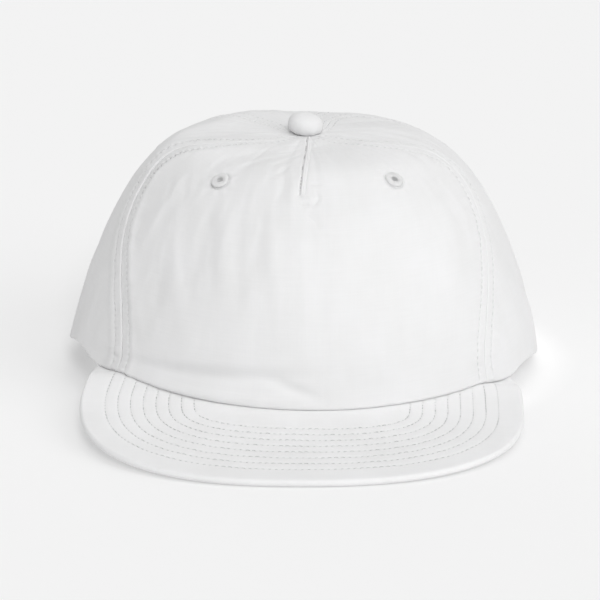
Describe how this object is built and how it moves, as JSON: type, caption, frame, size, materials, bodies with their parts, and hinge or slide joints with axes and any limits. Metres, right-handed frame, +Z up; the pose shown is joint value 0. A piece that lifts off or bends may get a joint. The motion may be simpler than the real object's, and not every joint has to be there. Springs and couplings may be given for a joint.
{
  "type": "surf cap",
  "caption": "Plain white cotton surf cap with a wide front panel, centre dart, air-hole eyelets, covered top button and a flat row-stitched brim.",
  "frame": {"origin": "centre of the bounding box's bottom face, on the surface that the cap rests on", "axes": "-Y out of the brim's front, +X to the viewer's right of the front view, +Z up through the button"},
  "size_m": [0.1916, 0.2382, 0.1056],
  "materials": {
    "panel_cloth": "fine cotton twill",
    "brim_cloth": "fine cotton twill over a stiff board, with rows of stitching",
    "button_cloth": "cotton twill stretched over a button",
    "thread": "embroidery thread",
    "strap_web": "cotton twill strap",
    "slide_plastic": "moulded white plastic"
  },
  "bodies": {
    "root": {"front_panel": "panel_cloth", "side_panel_left": "panel_cloth", "side_panel_right": "panel_cloth", "back_panel_left": "panel_cloth", "back_panel_right": "panel_cloth", "brim": "brim_cloth", "button": "button_cloth", "eyelet_left": "thread", "eyelet_right": "thread", "back_strap": "strap_web", "strap_buckle": "slide_plastic"}
  },
  "joints": []
}
